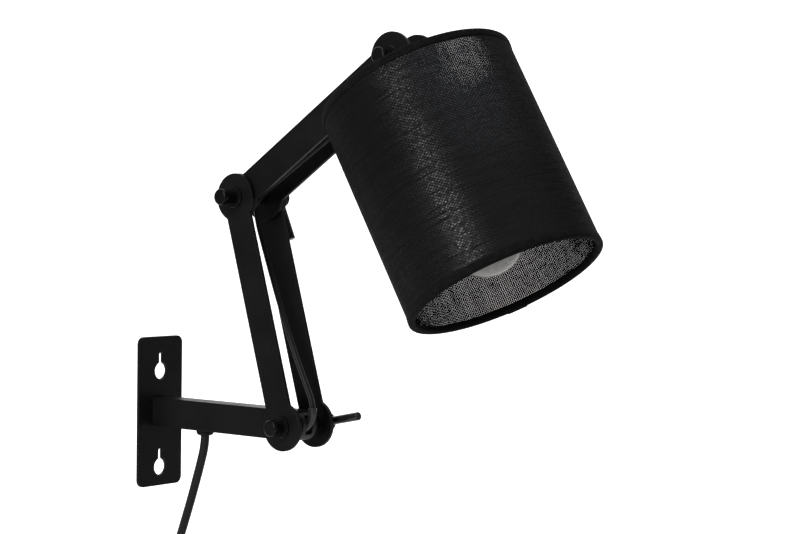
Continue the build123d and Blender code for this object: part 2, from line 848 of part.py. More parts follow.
stud_pass = stud_radius + cable_radius + cable_stud_clearance
bend_half = tan(radians(22.5))
slope_offset = stud_pass * sqrt(2)
under_stud = (arm_reach + stud_pass * bend_half, -stud_pass)
sleeve_corner = (arm_reach + sleeve_offset, sleeve_offset - slope_offset)
sleeve_exit = (arm_reach + sleeve_offset, sleeve_top)
terminal_end = terminal_start + terminal_length
arm_cable_route = flat_route(
    [
        (terminal_end, supply_height),
        (terminal_end + cable_start_run, supply_height),
        (terminal_end + cable_start_run + cable_fall_run, -stud_pass),
        under_stud,
        sleeve_corner,
        sleeve_exit,
    ]
)
arm_cable_radii = corner_radii(arm_cable_route)[:2] + [stud_pass, sleeve_bend_radius]
keep(swept_tube(arm_cable_route, arm_cable_radii, cable_radius), "link_cable_arm")

sleeve_start = stud_pass / sqrt(2) + sleeve_start_run / sqrt(2)
sleeve_route = flat_route(
    [
        (arm_reach + sleeve_start, sleeve_start - slope_offset),
        sleeve_corner,
        sleeve_exit,
    ]
)
sleeve_bore = cable_radius + seat_clearance
keep(
    swept_tube(sleeve_route, [sleeve_bend_radius], sleeve_bore + sleeve_wall_thickness, sleeve_bore),
    "cable_sleeve",
)


def along_upper(distance, drop):
    """A point given by its distance along the upper arm and its drop below the arm's middle line."""
    side = Vector(-upper_direction.Z, 0, upper_direction.X)
    return upper_pivot + upper_direction * distance - side * drop


def upper_cable_point(share):
    """A point of the cable between the upper links, which drops further as it nears the head."""
    drop = cable_low_drop + (cable_high_drop - cable_low_drop) * share**1.5
    return along_upper(share * (link_length - cable_head_setback), drop)


def between(start, end, share):
    """A point part of the way along a straight run, where two stretches of cable meet."""
    return start + (end - start) * share


under_upper_stud = along_upper(-cable_stud_setback, cable_low_drop)
middle_cable_offsets = [
    (sleeve_offset, sleeve_top + cable_radius * 2),
    (6.4, 30.5),
    (-0.6, 44.5),
    (-7.4, 58.5),
    (-15.3, 76.5),
    (-27.2, 106.0),
]
middle_cable_route = flat_route([sleeve_exit] + [(arm_reach + x, z) for x, z in middle_cable_offsets])
middle_cable_route.append(between(middle_cable_route[-1], under_upper_stud, 0.55))
middle_cable_radii = corner_radii(middle_cable_route)
keep(swept_tube(middle_cable_route, middle_cable_radii, cable_radius), "link_cable_middle")

upper_cable_route = [middle_cable_route[-1], under_upper_stud]
upper_cable_route += [upper_cable_point(share) for share in (0.27, 0.51, 0.72)]
near_head = upper_cable_point(1.0)
upper_cable_route.append(between(upper_cable_route[-1], near_head, 0.55))
upper_cable_radii = [upper_bend_radius] + corner_radii(upper_cable_route)[1:]
keep(swept_tube(upper_cable_route, upper_cable_radii, cable_radius), "link_cable_upper")

head_cable_route = [
    upper_cable_route[-1],
    near_head,
    head_pivot + head_direction * cable_head_drop,
    head_pivot + head_direction * (core_top - seat_clearance),
]
head_cable_radii = [corner_radii(head_cable_route, 0.25)[0], head_bend_radius]
keep(swept_tube(head_cable_route, head_cable_radii, cable_radius), "link_cable_head")

for cable_name, radii in (
    ("middle", middle_cable_radii),
    ("upper", upper_cable_radii),
    ("head", head_cable_radii),
):
    print("link cable", cable_name, "radii", [round(r, 1) for r in radii])

# Supply cord outside the arm: the stretch that hangs, the coil, its tie and the plug

coil_wall_x = cord_radius + coil_wall_clearance
coil_front_x = coil_wall_x + 2 * cord_radius + coil_gap
coil_pitch = 2 * cord_radius + coil_gap
cord_route = flat_route(
    [
        (grommet_reach, grommet_bottom),
        (grommet_reach, -22.5),
        (44.6, -40.5),
        (37.6, -61.0),
        (29.6, -82.5),
        (21.2, -104.0),
        (12.2, -124.0),
        (coil_wall_x, -141.0),
        (coil_wall_x, coil_height + 2 * cord_radius),
    ]
)
cord_radii = corner_radii(cord_route)
print("cord radii", [round(r, 1) for r in cord_radii])
keep(swept_tube(cord_route, cord_radii, cord_radius), "power_cord")


def half_turn(x_from, x_to, y_from, radius, side):
    """The start, middle and end of a half turn at the coil's height, and where the next one starts."""
    y_to = y_from + 2 * radius * side
    swing = -hypot(radius, (x_to - x_from) / 2) * side
    middle = ((x_from + x_to) / 2, (y_from + y_to) / 2, coil_height + swing)
    return (x_from, y_from, coil_height), middle, (x_to, y_to, coil_height), y_to


with BuildPart() as cord_coil:
    with BuildLine() as coil_path:
        Line((coil_wall_x, 0, coil_height + 2 * cord_radius), (coil_wall_x, 0, coil_height))
        turn_y = 0
        turn_side = 1
        steps_in = [(coil_wall_x, coil_wall_x, step) for step in range(coil_half_turns)]
        climb = [(coil_wall_x, coil_front_x, coil_half_turns)]
        steps_out = [(coil_front_x, coil_front_x, step) for step in range(coil_half_turns - 1, 0, -1)]
        for x_from, x_to, step in steps_in + climb + steps_out:
            turn_radius = coil_outer_radius - step * coil_pitch / 2
            start, middle, end, turn_y = half_turn(x_from, x_to, turn_y, turn_radius, turn_side)
            ThreePointArc(start, middle, end)
            turn_side = -turn_side
        tail_top = coil_height - 2 * cord_radius
        Line((coil_front_x, turn_y, coil_height), (coil_front_x, turn_y, tail_top))
        tail_cos = 1 - tail_step / (2 * tail_bend_radius)
        tail_sin = sqrt(1 - tail_cos**2)
        tail_middle = (coil_front_x + tail_step / 2, turn_y, tail_top - tail_bend_radius * tail_sin)
        tail_end = (coil_front_x + tail_step, turn_y, tail_top - 2 * tail_bend_radius * tail_sin)
        TangentArc((coil_front_x, turn_y, tail_top), tail_middle, tangent=(0, 0, -1))
        TangentArc(tail_end, tail_middle, tangent=(0, 0, 1))
        plug_top = tail_end[2] - 2 * cord_radius
        Line(tail_end, (tail_end[0], turn_y, plug_top))
    with BuildSketch(Plane(origin=(coil_wall_x, 0, coil_height + 2 * cord_radius), z_dir=(0, 0, -1))):
        Circle(cord_radius)
    sweep(path=coil_path.wire())
keep(cord_coil, "cord_coil")

coil_wire = coil_path.wire()
coil_samples = 700
coil_points = [coil_wire @ (i / coil_samples) for i in range(coil_samples + 1)]
apart = int(coil_samples * 6 * cord_radius / coil_wire.length) + 1
least = min(
    (coil_points[i] - coil_points[j]).length
    for i in range(len(coil_points))
    for j in range(i + apart, len(coil_points))
)
print("coil length", round(coil_wire.length, 1), "least gap to itself", round(least - 2 * cord_radius, 3))

tie_left = 2 * coil_outer_radius - (coil_half_turns - 1) / 2 * coil_pitch - cord_radius - tie_slack
tie_right = 2 * coil_outer_radius + cord_radius + tie_slack / 2
tie_back = coil_wall_x - cord_radius - tie_slack / 4
tie_front = coil_front_x + cord_radius + tie_slack / 4
tie_size = (tie_front - tie_back, tie_right - tie_left)
with BuildPart() as coil_tie:
    with BuildSketch(Plane.XY.offset(coil_height - tie_height / 2)):
        with Locations(((tie_back + tie_front) / 2, (tie_left + tie_right) / 2)):
            RectangleRounded(tie_size[0] + 2 * tie_thickness, tie_size[1] + 2 * tie_thickness, tie_corner_radius)
            RectangleRounded(*tie_size, tie_corner_radius - tie_thickness, mode=Mode.SUBTRACT)
    extrude(amount=tie_height)
keep(coil_tie, "coil_tie")

plug_x = tail_end[0]
plug_y = turn_y
body_top = plug_top - plug_neck_length
body_bottom = body_top - plug_shoulder_length - plug_body_length
with BuildPart() as plug_body:
    with BuildSketch(Plane(origin=(plug_x - plug_thickness / 2, plug_y, 0), x_dir=(0, 1, 0), z_dir=(1, 0, 0))):
        with BuildLine():
            Polyline(
                (-plug_shoulder_width / 2, body_top),
                (plug_shoulder_width / 2, body_top),
                (plug_width / 2, body_top - plug_shoulder_length),
                (plug_width / 2, body_bottom),
                (-plug_width / 2, body_bottom),
                (-plug_width / 2, body_top - plug_shoulder_length),
                close=True,
            )
        make_face()
    extrude(amount=plug_thickness)
    fillet(plug_body.edges(), plug_edge_radius)
    with BuildSketch(Plane(origin=(plug_x, plug_y, plug_top), z_dir=(0, 0, -1))):
        Circle(plug_neck_radius)
    extrude(amount=plug_neck_length)
keep(plug_body, "plug_body")

with BuildPart() as plug_pins:
    with BuildSketch(Plane(origin=(plug_x, plug_y, body_bottom), x_dir=(0, 1, 0), z_dir=(0, 0, -1))):
        with GridLocations(plug_pin_spacing, 0, 2, 1):
            Circle(plug_pin_radius)
    extrude(amount=plug_pin_length)
    fillet(plug_pins.faces().sort_by(Axis.Z)[:2].edges(), plug_pin_end_radius)
keep(plug_pins, "plug_pins")
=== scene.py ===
import json
import math

import bpy
from mathutils import Matrix, Vector


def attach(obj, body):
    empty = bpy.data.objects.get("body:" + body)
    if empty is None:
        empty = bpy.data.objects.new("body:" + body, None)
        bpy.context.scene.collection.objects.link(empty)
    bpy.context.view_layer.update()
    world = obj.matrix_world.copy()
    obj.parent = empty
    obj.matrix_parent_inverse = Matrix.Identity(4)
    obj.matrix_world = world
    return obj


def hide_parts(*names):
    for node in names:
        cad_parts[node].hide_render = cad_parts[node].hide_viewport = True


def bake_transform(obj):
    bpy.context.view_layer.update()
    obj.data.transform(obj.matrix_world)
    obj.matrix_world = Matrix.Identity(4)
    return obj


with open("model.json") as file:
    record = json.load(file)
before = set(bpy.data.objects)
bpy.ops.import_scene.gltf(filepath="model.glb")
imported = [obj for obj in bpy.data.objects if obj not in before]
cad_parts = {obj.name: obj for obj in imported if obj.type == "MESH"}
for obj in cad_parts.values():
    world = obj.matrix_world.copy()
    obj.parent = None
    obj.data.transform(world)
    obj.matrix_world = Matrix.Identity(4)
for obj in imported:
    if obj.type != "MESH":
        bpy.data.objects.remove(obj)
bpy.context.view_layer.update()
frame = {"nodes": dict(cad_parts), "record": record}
nodes = frame["nodes"]

# Places and sizes that the pieces here share with the solids, in metres

UPPER_PIVOT = Vector((0.096066, 0.0, 0.164607))
HEAD_PIVOT = Vector((0.237742, 0.0, 0.261251))
HEAD_TILT = math.radians(29.9)
HEAD_DOWN = Vector((math.sin(HEAD_TILT), 0.0, -math.cos(HEAD_TILT)))
HEAD_SIDE = Vector((math.cos(HEAD_TILT), 0.0, math.sin(HEAD_TILT)))
ALONG = Vector((0.0, 1.0, 0.0))
UPPER_LEAN = math.radians(55.7)
UPPER_ALONG = Vector((math.sin(UPPER_LEAN), 0.0, math.cos(UPPER_LEAN)))
UPPER_BELOW = Vector((math.cos(UPPER_LEAN), 0.0, -math.sin(UPPER_LEAN)))
CORD_RADIUS = 0.0033
CABLE_RADIUS = 0.002


# Shader helpers


class Shader:
    """A material with one Principled shader and short calls for the nodes in front of it."""

    def __init__(self, name):
        self.material = bpy.data.materials.new(name)
        self.material.use_nodes = True
        self.tree = self.material.node_tree
        self.bsdf = self.tree.nodes["Principled BSDF"]

    def node(self, kind, **values):
        made = self.tree.nodes.new(kind)
        for key, value in values.items():
            setattr(made, key, value)
        return made

    def put(self, socket, value):
        if isinstance(value, bpy.types.NodeSocket):
            self.tree.links.new(value, socket)
        else:
            socket.default_value = value

    def set(self, **values):
        for key, value in values.items():
            self.put(self.bsdf.inputs[key.replace("_", " ")], value)

    def math(self, operation, first, second=0.0, third=0.0):
        made = self.node("ShaderNodeMath", operation=operation)
        for socket, value in zip(made.inputs, (first, second, third)):
            self.put(socket, value)
        return made.outputs[0]

    def times(self, first, *others):
        """The product of two or more values."""
        for other in others:
            first = self.math("MULTIPLY", first, other)
        return first

    def object_place(self):
        return self.node("ShaderNodeTexCoord").outputs["Object"]

    def cloth_place(self):
        """The place on a cloth, whole and as its measures round and down, in metres."""
        place = self.node("ShaderNodeTexCoord").outputs["UV"]
        split = self.node("ShaderNodeSeparateXYZ")
        self.put(split.inputs[0], place)
        return place, split.outputs["X"], split.outputs["Y"]

    def joined(self, first, second):
        """Two values as one vector."""
        made = self.node("ShaderNodeCombineXYZ")
        self.put(made.inputs[0], first)
        self.put(made.inputs[1], second)
        return made.outputs[0]

    def stretched(self, place, scale):
        made = self.node("ShaderNodeMapping")
        self.put(made.inputs["Vector"], place)
        made.inputs["Scale"].default_value = scale
        return made.outputs["Vector"]

    def noise(self, place, scale, detail=3.0, roughness=0.55):
        made = self.node("ShaderNodeTexNoise")
        self.put(made.inputs["Vector"], place)
        made.inputs["Scale"].default_value = scale
        made.inputs["Detail"].default_value = detail
        made.inputs["Roughness"].default_value = roughness
        return made.outputs["Fac"]

    def spread(self, value, low, high, from_low=0.3, from_high=0.7):
        """A value that runs from low to high while the given one runs through its own range."""
        made = self.node("ShaderNodeMapRange")
        for socket, number in zip(made.inputs, (value, from_low, from_high, low, high)):
            self.put(socket, number)
        return made.outputs[0]

    def ramp(self, value, low_colour, high_colour, low=0.3, high=0.7):
        made = self.node("ShaderNodeValToRGB")
        self.put(made.inputs["Fac"], value)
        first, last = made.color_ramp.elements
        first.position, first.color = low, (*low_colour, 1.0)
        last.position, last.color = high, (*high_colour, 1.0)
        return made.outputs["Color"]

    def bump(self, height, strength, distance, coat=False):
        made = self.node("ShaderNodeBump")
        made.inputs["Strength"].default_value = strength
        made.inputs["Distance"].default_value = distance
        self.put(made.inputs["Height"], height)
        self.put(self.bsdf.inputs["Normal"], made.outputs["Normal"])
        if coat:
            self.put(self.bsdf.inputs["Coat Normal"], made.outputs["Normal"])


# Plain finishes

DRIFT_SCALE = 38.0


def speckled(name, low, high, rough, grain, bump, depth, metallic=0.0, **more):
    """A finish with fine grain: colour and roughness drift a little, and the grain stands up."""
    shader = Shader(name)
    place = shader.object_place()
    drift = shader.noise(place, DRIFT_SCALE, detail=4.0)
    fine = shader.noise(place, grain, detail=2.0)
    shader.set(Base_Color=shader.ramp(drift, low, high), Metallic=metallic)
    shader.set(Roughness=shader.spread(drift, *rough), **more)
    shader.bump(fine, bump, depth)
    return shader.material


powder_coat = speckled(
    "powder_coat",
    low=(0.003, 0.003, 0.0031),
    high=(0.0048, 0.0048, 0.0049),
    rough=(0.36, 0.46),
    grain=1500.0,
    bump=0.16,
    depth=0.00012,
    Specular_IOR_Level=0.09,
)
black_gloss = speckled(
    "black_gloss",
    low=(0.003, 0.003, 0.0031),
    high=(0.005, 0.005, 0.0051),
    rough=(0.16, 0.24),
    grain=1200.0,
    bump=0.08,
    depth=0.00006,
    Specular_IOR_Level=0.1,
)
rod_gloss = speckled(
    "rod_gloss",
    low=(0.006, 0.006, 0.0061),
    high=(0.009, 0.009, 0.0091),
    rough=(0.16, 0.24),
    grain=1200.0,
    bump=0.08,
    depth=0.00006,
    Specular_IOR_Level=0.35,
)
sleeve_plastic = speckled(
    "sleeve_plastic",
    low=(0.012, 0.012, 0.012),
    high=(0.018, 0.018, 0.018),
    rough=(0.24, 0.32),
    grain=1800.0,
    bump=0.06,
    depth=0.00005,
    Specular_IOR_Level=0.4,
)
black_plastic = speckled(
    "black_plastic",
    low=(0.006, 0.006, 0.006),
    high=(0.01, 0.01, 0.01),
    rough=(0.46, 0.58),
    grain=2600.0,
    bump=0.12,
    depth=0.00008,
    Specular_IOR_Level=0.3,
)
cord_sheath = speckled(
    "cord_sheath",
    low=(0.0075, 0.0075, 0.0075),
    high=(0.0115, 0.0115, 0.0115),
    rough=(0.34, 0.44),
    grain=900.0,
    bump=0.1,
    depth=0.00008,
    Specular_IOR_Level=0.12,
)
nylon = speckled(
    "nylon",
    low=(0.008, 0.008, 0.008),
    high=(0.013, 0.013, 0.013),
    rough=(0.5, 0.6),
    grain=2000.0,
    bump=0.1,
    depth=0.00005,
)
plain_steel = speckled(
    "plain_steel",
    low=(0.36, 0.36, 0.37),
    high=(0.5, 0.5, 0.51),
    rough=(0.28, 0.4),
    grain=1800.0,
    bump=0.12,
    depth=0.00005,
    metallic=1.0,
)
brass = speckled(
    "brass",
    low=(0.62, 0.44, 0.18),
    high=(0.74, 0.55, 0.26),
    rough=(0.24, 0.36),
    grain=1500.0,
    bump=0.1,
    depth=0.00005,
    metallic=1.0,
)
porcelain = speckled(
    "porcelain",
    low=(0.76, 0.75, 0.71),
    high=(0.83, 0.82, 0.79),
    rough=(0.16, 0.24),
    grain=260.0,
    bump=0.06,
    depth=0.0001,
    Coat_Weight=0.4,
)
bulb_metal = speckled(
    "bulb_metal",
    low=(0.55, 0.55, 0.56),
    high=(0.68, 0.68, 0.69),
    rough=(0.26, 0.36),
    grain=1600.0,
    bump=0.1,
    depth=0.00005,
    metallic=1.0,
)
pin_metal = speckled(
    "pin_metal",
    low=(0.58, 0.57, 0.54),
    high=(0.7, 0.69, 0.66),
    rough=(0.16, 0.26),
    grain=1600.0,
    bump=0.08,
    depth=0.00004,
    metallic=1.0,
)
opal = speckled(
    "opal_glass",
    low=(0.123, 0.119, 0.108),
    high=(0.158, 0.153, 0.141),
    rough=(0.22, 0.3),
    grain=420.0,
    bump=0.02,
    depth=0.00005,
    Coat_Weight=0.5,
    Coat_Roughness=0.08,
    Subsurface_Weight=0.15,
    Subsurface_Scale=0.004,
)

# The shade's cloth, in metres. Places round it are in degrees, from its far side towards its front.
# Pairs say where a change begins and where it ends.

CLOTH_ROUND = 0.4371
WARP_THREADS = 324
WARP_PITCH = CLOTH_ROUND / WARP_THREADS
WEFT_PITCH = 0.00115
THREAD_SWAY = 1.3
SLUB_STEP = 3.71
WARP_SLUB = 0.03
WEFT_SLUB = 0.045
STREAK_STEP = 57.3
STREAK_LENGTH = 0.028
CLOSER = 0.27
SEAM_PLACE = CLOTH_ROUND * 253 / 360
SEAM_WIDTH = 0.009
SHEEN = 0.055
SHEEN_GROWS = (0.06, 0.115)
WHOLE = (0.0, 1.0)


def linen():
    """Black open linen: round threads over and under each other, uneven in width, with gaps between."""
    shader = Shader("shade_linen")
    place, round_it, down = shader.cloth_place()

    def swaying(run, pitch, stretch, scale):
        """The count of threads before a place, with a slow sway so that they don't run dead straight."""
        sway = shader.noise(shader.stretched(place, stretch), scale, detail=2.0)
        return shader.math("MULTIPLY_ADD", sway, THREAD_SWAY, shader.math("DIVIDE", run, pitch))

    across = swaying(round_it, WARP_PITCH, (120.0, 90.0, 1.0), 1.0)
    along = swaying(down, WEFT_PITCH, (80.0, 130.0, 1.0), 1.3)
    across_count = shader.math("FLOOR", across)
    along_count = shader.math("FLOOR", along)

    def slub(count, run, length):
        """Slubs: here and there a thread swells along its own length and closes the gaps beside it."""
        at = shader.joined(shader.times(count, SLUB_STEP), shader.math("DIVIDE", run, length))
        return shader.noise(at, 1.0, detail=1.0)

    slub_warp = slub(across_count, down, WARP_SLUB)
    slub_weft = slub(along_count, round_it, WEFT_SLUB)

    # The weave is closer round the front than at the back. Beside the top a patch is more open, and it
    # carries painted light that lightens the cloth's colour; the side that the patch lies on carries a
    # fainter painted light as well.
    turn = shader.times(round_it, 360 / CLOTH_ROUND)

    def stretch_of_turn(strength, rises, falls, fades=None):
        """An effect that rises and falls round the shade, and may fade down from the top."""
        effect = shader.times(shader.spread(turn, strength, 0.0, *falls), shader.spread(turn, *WHOLE, *rises))
        return shader.times(effect, shader.spread(down, 1.0, 0.0, *fades)) if fades else effect

    front = stretch_of_turn(1.0, rises=(48, 66), falls=(228, 244))
    window = stretch_of_turn(0.9, rises=(76, 108), falls=(119, 146), fades=(0.024, 0.072))
    painted_glow = stretch_of_turn(8.0, rises=(75, 110), falls=(122, 162), fades=(0.03, 0.105))
    # Painted light: the side that the patch lies on is lightened in colour, as if a fill light fell on it.
    side = stretch_of_turn(0.7, rises=(80, 104), falls=(130, 148))
    close = shader.times(front, shader.math("SUBTRACT", 1.0, window), CLOSER)

    def thread(count, swelling, thin, thick, swollen, swells):
        """Where a thread lies, and how its round top rises, from its plain width and its slubs'."""
        plain = shader.spread(swelling, thin, thick, 0.3, 0.6)
        width = shader.math("ADD", plain, shader.spread(swelling, 0.0, swollen, *swells))
        width = shader.math("ADD", width, close)
        offset = shader.math("ABSOLUTE", shader.math("SUBTRACT", shader.math("FRACT", count), 0.5))
        share = shader.math("DIVIDE", shader.times(offset, 2.0), width)
        inside = shader.math("LESS_THAN", share, 1.0)
        hump = shader.math("SUBTRACT", 1.0, shader.times(share, share))
        return inside, shader.math("MAXIMUM", hump, 0.0)

    warp_in, warp_hump = thread(across, slub_warp, thin=0.71, thick=0.79, swollen=0.2, swells=(0.69, 0.79))
    weft_in, weft_hump = thread(along, slub_weft, thin=0.64, thick=0.73, swollen=0.34, swells=(0.65, 0.73))

    # Where the cloth's two ends are glued over each other the gaps are closed
    seam = shader.math("COMPARE", round_it, SEAM_PLACE, SEAM_WIDTH / 2)
    cover = shader.math("MAXIMUM", shader.math("MAXIMUM", warp_in, weft_in), seam)

    # At every other crossing the warp lies on top, and at the rest the weft
    parity = shader.math(
        "ABSOLUTE",
        shader.math(
            "SUBTRACT",
            shader.math("FLOORED_MODULO", across_count, 2.0),
            shader.math("FLOORED_MODULO", along_count, 2.0),
        ),
    )
    over = shader.math("MULTIPLY_ADD", parity, 0.5, warp_hump)
    under = shader.math("MULTIPLY_ADD", shader.math("SUBTRACT", 1.0, parity), 0.5, weft_hump)
    height = shader.math("MAXIMUM", over, under)
    # The tone is the slubs' own colour plus painted shade: the threads' tops are lighter and the hollows
    # between them darker.
    tone_and_painted_shade = shader.math("MULTIPLY_ADD", slub_weft, 0.5, shader.times(height, 0.35))

    # The weft's tops have a sheen, uneven from thread to thread and from crossing to crossing
    grain_node = shader.node("ShaderNodeTexWhiteNoise", noise_dimensions="2D")
    shader.put(grain_node.inputs["Vector"], shader.joined(across_count, along_count))
    grain = grain_node.outputs["Value"]
    streak = slub(shader.math("ADD", along_count, STREAK_STEP), round_it, STREAK_LENGTH)
    shine = shader.times(
        shader.spread(streak, 0.4, 1.0),
        shader.spread(slub_weft, 1.0, 0.15, 0.6, 0.68),
        shader.spread(grain, 0.45, 1.25, *WHOLE),
        shader.spread(down, 0.64, 1.24, *SHEEN_GROWS),
    )
    weft_top = shader.times(weft_hump, shader.math("MULTIPLY_ADD", parity, -0.72, 1.0))
    grainy = shader.times(weft_top, shader.spread(grain, 0.4, 1.4, *WHOLE))
    # Painted light: the patch beside the top and the side it lies on lift the cloth's colour, the patch most
    # on the weft's tops.
    painted_light_gain = shader.math("ADD", shader.math("MULTIPLY_ADD", painted_glow, grainy, 1.0), side)
    dye_and_painted_light = shader.node("ShaderNodeVectorMath", operation="SCALE")
    black = shader.ramp(tone_and_painted_shade, (0.001, 0.001, 0.0011), (0.0051, 0.0052, 0.0056), 0.2, 0.8)
    shader.put(dye_and_painted_light.inputs[0], black)
    shader.put(dye_and_painted_light.inputs["Scale"], painted_light_gain)
    shader.set(
        Base_Color=dye_and_painted_light.outputs[0],
        Roughness=0.8,
        Specular_IOR_Level=0.02,
        Coat_Weight=shader.times(weft_top, shine, SHEEN),
        Coat_Roughness=shader.spread(grain, 0.44, 0.22, *WHOLE),
        Coat_IOR=4.0,
        Alpha=cover,
    )
    shader.bump(height, 0.3, 0.0002, coat=True)
    return shader.material


RIB_PITCH = 0.0007
CROSS_RIB_PITCH = 0.0009


def tape():
    """Close black cotton tape: fine ribs one way, finer ones the other."""
    shader = Shader("binding_tape")
    place, round_it, down = shader.cloth_place()
    drift = shader.noise(shader.stretched(place, (180.0, 420.0, 1.0)), 1.0)
    ribs = shader.math("SINE", shader.times(round_it, 2 * math.pi / RIB_PITCH))
    cross_ribs = shader.math("SINE", shader.times(down, 2 * math.pi / CROSS_RIB_PITCH))
    height = shader.math("MULTIPLY_ADD", cross_ribs, 0.6, shader.math("MULTIPLY_ADD", drift, 1.2, ribs))
    shader.set(
        Base_Color=shader.ramp(drift, (0.002, 0.002, 0.0021), (0.0075, 0.0075, 0.0077)),
        Roughness=shader.spread(drift, 0.8, 0.92),
        Specular_IOR_Level=0.05,
    )
    shader.bump(height, 0.35, 0.0002)
    return shader.material


shade_linen = linen()
binding_tape = tape()

# Every solid takes its slot's finish, and a few take one of their own

SLOT_MATERIALS = {
    "black_metal": powder_coat,
    "black_plastic": black_plastic,
    "black_cord": cord_sheath,
    "plain_steel": plain_steel,
    "brass": brass,
    "nylon": nylon,
    "porcelain": porcelain,
    "opal_glass": opal,
    "bulb_metal": bulb_metal,
    "pin_metal": pin_metal,
    "shade_cloth": shade_linen,
    "binding_cloth": binding_tape,
}


def paint(node_name, material):
    """Give a solid this material in place of the one it has."""
    slots = nodes[node_name].data.materials
    slots.clear()
    slots.append(material)


record_slots = {entry["node"]: entry["material_slot"] for entry in frame["record"]["subparts"]}
for node_name in nodes:
    paint(node_name, SLOT_MATERIALS[record_slots[node_name]])
for dull in ("shade_spider", "shade_top_ring", "shade_bottom_ring", "head_stem", "stem_nuts", "cord_grommet"):
    paint(dull, powder_coat)
for pivot_name in ("lower", "upper", "head"):
    for shiny in ("collar", "cap_nut", "lever_boss"):
        paint(f"{pivot_name}_{shiny}", black_gloss)
    paint(f"{pivot_name}_lever_rod", rod_gloss)
paint("cable_sleeve", sleeve_plastic)


# Mesh helpers


def linked(name, data):
    """A new object with this data, in the scene."""
    made = bpy.data.objects.new(name, data)
    bpy.context.scene.collection.objects.link(made)
    return made


def smooth_mesh(name, mesh):
    """A new object with this mesh, shaded smooth."""
    for polygon in mesh.polygons:
        polygon.use_smooth = True
    return linked(name, mesh)


def new_mesh(name, points, faces, material):
    mesh = bpy.data.meshes.new(name)
    mesh.from_pydata([tuple(point) for point in points], [], faces)
    mesh.update()
    mesh.materials.append(material)
    return smooth_mesh(name, mesh)


def nurbs_curve(name, points, radius, material, swell=()):
    """A round cord whose centreline is one smooth spline with these points as its controls.

    Swell gives each point's own share of the radius, for a piece that tapers.
    """
    curve = bpy.data.curves.new(name, "CURVE")
    curve.dimensions = "3D"
    curve.bevel_depth = radius
    curve.bevel_resolution = 6
    curve.resolution_u = 8
    curve.use_fill_caps = True
    spline = curve.splines.new("NURBS")
    spline.points.add(len(points) - 1)
    for place, point in zip(spline.points, points):
        place.co = (*point, 1.0)
    for place, share in zip(spline.points, swell):
        place.radius = share
    spline.order_u = 3
    spline.use_endpoint_u = True
    curve.materials.append(material)
    return linked(name, curve)


def cable_mesh(name, points, radius=CABLE_RADIUS):
    """A round cable turned into a mesh."""
    curve = nurbs_curve(name + "_line", points, radius, cord_sheath)
    mesh = bpy.data.meshes.new_from_object(curve.evaluated_get(bpy.context.evaluated_depsgraph_get()))
    bpy.data.objects.remove(curve)
    mesh.name = name
    return smooth_mesh(name, mesh)


def flat(points):
    """Points given as X and Z in millimetres, set in the middle plane."""
    return [Vector((x / 1000, 0.0, z / 1000)) for x, z in points]


def along_upper(distance, drop):
    """A point by its distance along the upper arm and its drop below the arm's middle line, in mm."""
    return UPPER_PIVOT + UPPER_ALONG * (distance / 1000) + UPPER_BELOW * (drop / 1000)


def along_head(drop):
    """A point on the head's axis by its drop from the head pivot, in millimetres."""
    return HEAD_PIVOT + HEAD_DOWN * (drop / 1000)


def turned(name, profile, steps, material, first=0.0, last=360.0, places=None):
    """A surface turned about the head's axis, from drops and radii in mm, with cloth measures as UV.

    A profile that ends where it starts makes a closed wall.
    Places give each point's own measure across the cloth.
    """
    closed_wall = profile[0] == profile[-1]
    rows = profile[:-1] if closed_wall else profile
    full_turn = last - first == 360.0
    columns = steps if full_turn else steps + 1
    if places is None:
        places = [0.0]
        for (s0, r0), (s1, r1) in zip(profile, profile[1:]):
            places.append(places[-1] + math.hypot(s1 - s0, r1 - r0))
    points, faces, corners = [], [], []
    for drop, radius in rows:
        for step in range(columns):
            angle = math.radians(first + (last - first) * step / steps)
            out = ALONG * math.cos(angle) + HEAD_SIDE * math.sin(angle)
            points.append(along_head(drop) + out * (radius / 1000))
    for row in range(len(profile) - 1):
        here, below = row * columns, (row + 1) % len(rows) * columns
        low, high = places[row] / 1000, places[row + 1] / 1000
        for step in range(steps):
            after = (step + 1) % columns
            faces.append((here + step, here + after, below + after, below + step))
            left = CLOTH_ROUND * (first + (last - first) * step / steps) / 360
            right = CLOTH_ROUND * (first + (last - first) * (step + 1) / steps) / 360
            corners.append([(left, low), (right, low), (right, high), (left, high)])
    if closed_wall and not full_turn:
        faces.append([row * columns for row in range(len(rows))])
        faces.append([row * columns + steps for row in reversed(range(len(rows)))])
        corners += [[(0.0, 0.0)] * len(rows)] * 2
    made = new_mesh(name, points, faces, material)
    layer = made.data.uv_layers.new(name="cloth")
    for polygon, places_round in zip(made.data.polygons, corners):
        for loop, place in zip(polygon.loop_indices, places_round):
            layer.data[loop].uv = place
    return made


# Camera, set where the photograph was taken from

CAMERA_PLACE = (1.059, -1.039, 0.154)
CAMERA_LENS = 86.09
SENSOR_WIDTH = 36.0
camera_data = bpy.data.cameras.new("camera")
camera_data.lens = CAMERA_LENS
camera_data.sensor_width = SENSOR_WIDTH
camera_data.clip_start = 0.05
camera_data.clip_end = 60.0
right = Vector((0.7836, 0.6211, 0.0124)).normalized()
forward = Vector((-0.6207, 0.7836, -0.0278)).normalized()
up = right.cross(forward).normalized()
camera_turn = Matrix((right, up, -forward)).transposed().to_4x4()
camera = linked("camera", camera_data)
camera.matrix_world = Matrix.Translation(CAMERA_PLACE) @ camera_turn
bpy.context.scene.camera = camera

# Supply cord: it hangs from the grommet towards the wall, then lies in a tied coil and ends in its plug

COIL_WALL_X = 0.0046
COIL_FRONT_X = 0.0118
COIL_PITCH = 0.0072
COIL_RADIUS = 0.0485
COIL_HEIGHT = -0.16
COIL_HALF_TURNS = 7
TURN_POINTS = 8
PLUG_X = COIL_FRONT_X + 0.014
RELIEF_RADIUS = 0.0049


